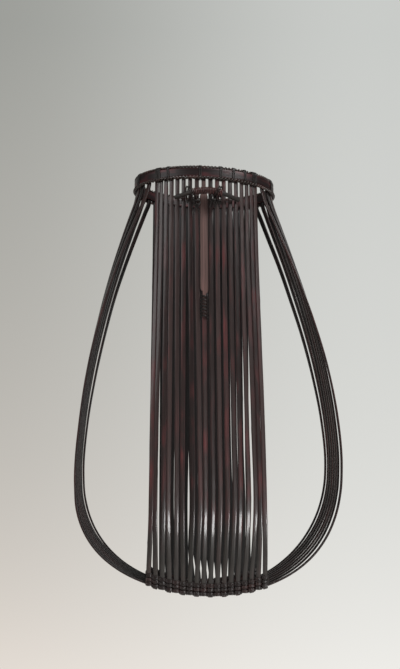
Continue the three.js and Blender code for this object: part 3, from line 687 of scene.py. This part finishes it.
# Base twining: two strands of three thin canes go along each edge of the base in three rows, in front of one
# rib and behind the next, and twist between ribs, which spaces the ribs and holds them to the turn.
TWINE_ROW = 3.8 * MM
TWINE_CANES = 3
TWINE_SPREAD = 1.15 * MM
TWINE_PINCH = 0.35
TWINE_STEP = 1.2 * MM
LOWEST_DROP = 1.12
twine_stain = bamboo("twine_stain", 0.65 * MM, dark=(0.020, 0.014, 0.013), rubbed=(0.085, 0.028, 0.024),
                     wear=0.5, gloss=0.22, coat=0.2, fibres=3000.0, seed=17.0)
for n, node in enumerate(("base_twine_near_1", "base_twine_near_2", "base_twine_far_1", "base_twine_far_2")):
    points = [middle(ring) for ring in rings_of(node, 4)]
    if points[0].z > points[-1].z + TWINE_ROW / 2:
        points.reverse()
    lowest = [point - UP * TWINE_ROW * LOWEST_DROP for point in points[:len(points) // 2]]
    points = lowest[::-1] + points
    depths = [point.y for point in points]
    half_way = (min(depths) + max(depths)) / 2
    reach = (max(depths) - min(depths)) / 2
    lines = []
    for cane in range(TWINE_CANES):
        spread = TWINE_SPREAD * (cane - (TWINE_CANES - 1) / 2)
        held = [mix(TWINE_PINCH, 1, abs(point.y - half_way) / reach) for point in points]
        route = [point + UP * spread * share for point, share in zip(points, held)]
        lines.append(smoothed(route, [UP] * len(route), TWINE_STEP, least=2))
    twine = jointless(f"cane_{node}", lines, twine_stain, width=1.3 * MM, thickness=1.2 * MM, squareness=2.2,
                      unevenness=0.3, corners=8, seed=110 + n)
    finish_piece(twine, "cane", node)


# Hanging bow: a bar of bare bamboo that stands off the ribs in the middle and tapers to its two ends. A hook
# in the wall goes up behind it.
FINE_STEP = 1 * MM
bow_skin = bamboo("bow_skin", 2.2 * MM, dark=(0.018, 0.014, 0.012), rubbed=(0.055, 0.032, 0.026), wear=0.5,
                  gloss=0.45, coat=0.1, seed=23.0)
bow_middle = [middle(ring) for ring in rings_of("bow", 8)]
bow = jointless("bare_bow", [smoothed(bow_middle, [UP] * len(bow_middle), FINE_STEP)], bow_skin, taper=0.08,
                width=4.7 * MM, thickness=3.8 * MM, squareness=2.5, unevenness=0.06, corners=20, seed=120)
finish_piece(bow, "bow_bamboo", "bow")


# Bow wrapping: one flat cane, stained red brown, wound closely round the middle of the bow so that the hook
# bears on it and the bamboo isn't cut.
ALONG_BOW = Vector((1, 0, 0))
wrap_stain = bamboo("wrapping_stain", 0.8 * MM, dark=(0.060, 0.024, 0.022), rubbed=(0.16, 0.065, 0.058),
                    wear=0.9, gloss=0.24, fibres=3000.0, seed=29.0)
wound = [middle(ring) for ring in rings_of("bow_wrapping", 4)]
wrapping = jointless("cane_bow_wrapping", [smoothed(wound, [ALONG_BOW] * len(wound), FINE_STEP, least=1)],
                     wrap_stain, width=1.3 * MM, thickness=1.2 * MM, squareness=2.6, unevenness=0.1,
                     corners=12, seed=130)
finish_piece(wrapping, "wrapping_cane", "bow_wrapping")


# Bow ties: thin strands that go round a rib and cross over the wrapped bow on each side of the slip, each
# finished in two small knots. A knot is three loops of the strand, and its two ends are left hanging.
TIE_LINE = 1.5 * MM
KNOT_SIZE = 1.25 * MM
KNOT_STEPS = 60
KNOTS = {"bow_tie_left": (Vector((-13.5, 2.5, -4.5)) * MM, Vector((-11.5, 3.5, -8.5)) * MM),
         "bow_tie_right": (Vector((5.0, 2.5, -3.5)) * MM, Vector((10.5, 3.0, -4.0)) * MM)}
for n, (node, knots) in enumerate(KNOTS.items()):
    tied = [middle(ring) for ring in rings_of(node, 5)]
    lines = [smoothed(tied, [UP] * len(tied), FINE_STEP, least=1)]
    for knot in knots:
        loop = []
        for t in full_turn(KNOT_STEPS):
            round_knot = 2 + math.cos(3 * t)
            loop.append(knot + KNOT_SIZE * Vector((round_knot * math.cos(2 * t), math.sin(3 * t),
                                                   1.2 * round_knot * math.sin(2 * t))))
        lines.append(squared_to(loop + loop[:1], [UP] * (KNOT_STEPS + 1)))
        for side in (-1, 1):
            end = [knot + MM * Vector((side * (0.5 + 0.5 * t), 0.4 * t, -2.0 - 2.1 * t)) for t in range(5)]
            lines.append(squared_to(end, [ALONG_BOW] * len(end)))
    bow_tie = jointless(f"cane_{node}", lines, cane_stain, width=TIE_LINE, thickness=0.8 * TIE_LINE,
                        squareness=2.2, unevenness=0.1, corners=10, seed=140 + n)
    finish_piece(bow_tie, "cane", node)


# Slip: a flat piece of bamboo with its skin outwards, stained purple brown and rubbed smooth. It lies on one
# rib, narrow behind the bow and cut at a slant at its foot. Its edges are eased.
SLIP_EDGE = 0.3 * MM
slip_skin = bamboo("slip_skin", 4.2 * MM, dark=(0.090, 0.051, 0.045), rubbed=(0.14, 0.07, 0.058), wear=0.5,
                   gloss=0.45, coat=0.1, fibres=900.0, seed=31.0)
cut = merged_solid("slip")
bmesh.ops.dissolve_limit(cut, angle_limit=math.radians(2), verts=cut.verts, edges=cut.edges)
bmesh.ops.bevel(cut, geom=cut.edges, offset=SLIP_EDGE, segments=3, profile=0.6, affect="EDGES",
                clamp_overlap=True)
slip_mesh = bpy.data.meshes.new("bamboo_slip")
cut.to_mesh(slip_mesh)
cut.free()
slip_low, slip_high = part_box("slip")
at = slip_mesh.attributes.new("strip_at", "FLOAT_VECTOR", "POINT")
for vertex, value in zip(slip_mesh.vertices, at.data):
    value.vector = (vertex.co.x - (slip_low[0] + slip_high[0]) / 2, vertex.co.y - slip_low[1], vertex.co.z)
slip_mesh.materials.append(slip_skin)
slip = bpy.data.objects.new("bamboo_slip", slip_mesh)
scene.collection.objects.link(slip)
finish_piece(slip, "slip_bamboo", "slip")


# Slip lashing: one thin strand that crosses over the slip's tail, then winds closely round the tail and the
# rib behind it.
lashed = [middle(ring) for ring in rings_of("slip_lashing", 5)]
lashing = jointless("cane_slip_lashing", [smoothed(lashed, [UP] * len(lashed), FINE_STEP, least=1)],
                    cane_stain, width=2.3 * MM, thickness=1.1 * MM, squareness=2.2, unevenness=0.1,
                    corners=10, seed=150)
finish_piece(lashing, "cane", "slip_lashing")


# Backdrop: a plain pale sheet that hangs well behind the basket and sweeps forward below it as the floor.
# The camera, reflections and glass see it glowing with painted light, darker at the upper left, lighter to
# the right and warmer and lighter downwards. From behind or underneath it can be looked through.
WALL_DISTANCE = 2.4
WALL_TOP = 2.6
FLOOR_DEPTH = 0.95
FLOOR_FRONT = 1.6
BEND_RADIUS = 0.5
BEND_STEPS = 12
BACKDROP_REACH = 3.0
PAINT = (0.6, 0.6, 0.59, 1)
TOP_TO_FOOT = (1.45, -0.8)
LEFT_TO_RIGHT = (-0.75, 0.8)
# Painted light on the backdrop: the tones that it glows with towards its four corners.
TOP_LEFT = (0.335, 0.340, 0.318, 1)
FOOT_LEFT = (0.76, 0.70, 0.64, 1)
TOP_RIGHT = (0.585, 0.60, 0.58, 1)
FOOT_RIGHT = (0.85, 0.84, 0.805, 1)
EVEN_SHARE = 0.53
LATE_SHARE = 0.47
profile = [(-FLOOR_FRONT, -FLOOR_DEPTH)]
for n in range(BEND_STEPS + 1):
    bend = math.pi / 2 * n / BEND_STEPS
    profile.append((WALL_DISTANCE - BEND_RADIUS * (1 - math.sin(bend)),
                    BEND_RADIUS * (1 - math.cos(bend)) - FLOOR_DEPTH))
profile.append((WALL_DISTANCE, WALL_TOP))
sheet = bpy.data.meshes.new("backdrop_sheet")
sheet.from_pydata([(side * BACKDROP_REACH, y, z) for y, z in profile for side in (-1, 1)], [],
                  [(2 * n, 2 * n + 1, 2 * n + 3, 2 * n + 2) for n in range(len(profile) - 1)])
paper = bpy.data.materials.new("backdrop_paper")
paper.use_nodes = True
tree = paper.node_tree
paint = tree.nodes["Principled BSDF"]
paint.inputs["Base Color"].default_value = PAINT
paint.inputs["Roughness"].default_value = 0.9
spot = parts_of(tree, add_node(tree, "ShaderNodeTexCoord").outputs["Object"])
down = ramp(tree, spot[2], *TOP_TO_FOOT, 0.0, 1.0, smooth=False)
late = calculate(tree, "POWER", down, 5.0)
down = calculate(tree, "ADD", times(tree, down, EVEN_SHARE), times(tree, late, LATE_SHARE))
right = ramp(tree, spot[0], *LEFT_TO_RIGHT, 0.0, 1.0)
left_tone = blend(tree, down, TOP_LEFT, FOOT_LEFT)
right_tone = blend(tree, down, TOP_RIGHT, FOOT_RIGHT)
# The backdrop glows with this painted light, though it is no lamp.
painted_glow = add_node(tree, "ShaderNodeEmission", Color=blend(tree, right, left_tone, right_tone), Strength=1.0)
ray = add_node(tree, "ShaderNodeLightPath").outputs
seen = calculate(tree, "MAXIMUM", ray["Is Camera Ray"], ray["Is Glossy Ray"])
seen = calculate(tree, "MAXIMUM", seen, ray["Is Transmission Ray"])
face = add_node(tree, "ShaderNodeMixShader", _0=seen, _1=paint.outputs[0], _2=painted_glow.outputs[0])
from_behind = add_node(tree, "ShaderNodeNewGeometry").outputs["Backfacing"]
clear = add_node(tree, "ShaderNodeBsdfTransparent")
both = add_node(tree, "ShaderNodeMixShader", _0=from_behind, _1=face.outputs[0], _2=clear.outputs[0])
tree.links.new(both.outputs[0], tree.nodes["Material Output"].inputs["Surface"])
sheet.materials.append(paper)
backdrop = bpy.data.objects.new("backdrop_sheet", sheet)
scene.collection.objects.link(backdrop)


# Light: soft studio panels over the room, and a wide low panel in front whose reflection runs along the lower
# part of the ribs.
BASKET_MIDDLE = (0, 0.07, -0.2)
BASKET_FRONT = (0.0, 0.0, -0.33)


def panel(name, place, target, size, power):
    """A soft light panel that faces its target."""
    light = bpy.data.lights.new(name, "AREA")
    light.shape = "RECTANGLE"
    light.size, light.size_y = size
    light.energy = power
    lamp = bpy.data.objects.new(name, light)
    lamp.location = place
    lamp.rotation_euler = (Vector(target) - Vector(place)).to_track_quat("-Z", "Y").to_euler()
    lamp.visible_camera = False
    scene.collection.objects.link(lamp)


panel("key_panel", place=(1.3, -1.5, 1.5), target=BASKET_MIDDLE, size=(1.2, 1.2), power=56)
panel("fill_panel", place=(-1.6, -1.2, 0.9), target=BASKET_MIDDLE, size=(1.4, 1.4), power=17)
panel("low_panel", place=(0.4, -1.5, -0.45), target=BASKET_FRONT, size=(0.4, 0.08), power=4.5)
world = bpy.data.worlds.new("studio")
scene.world = world
world.use_nodes = True
world.node_tree.nodes["Background"].inputs["Color"].default_value = (0.75, 0.76, 0.76, 1)
world.node_tree.nodes["Background"].inputs["Strength"].default_value = 0.11
scene.view_settings.view_transform = "Standard"
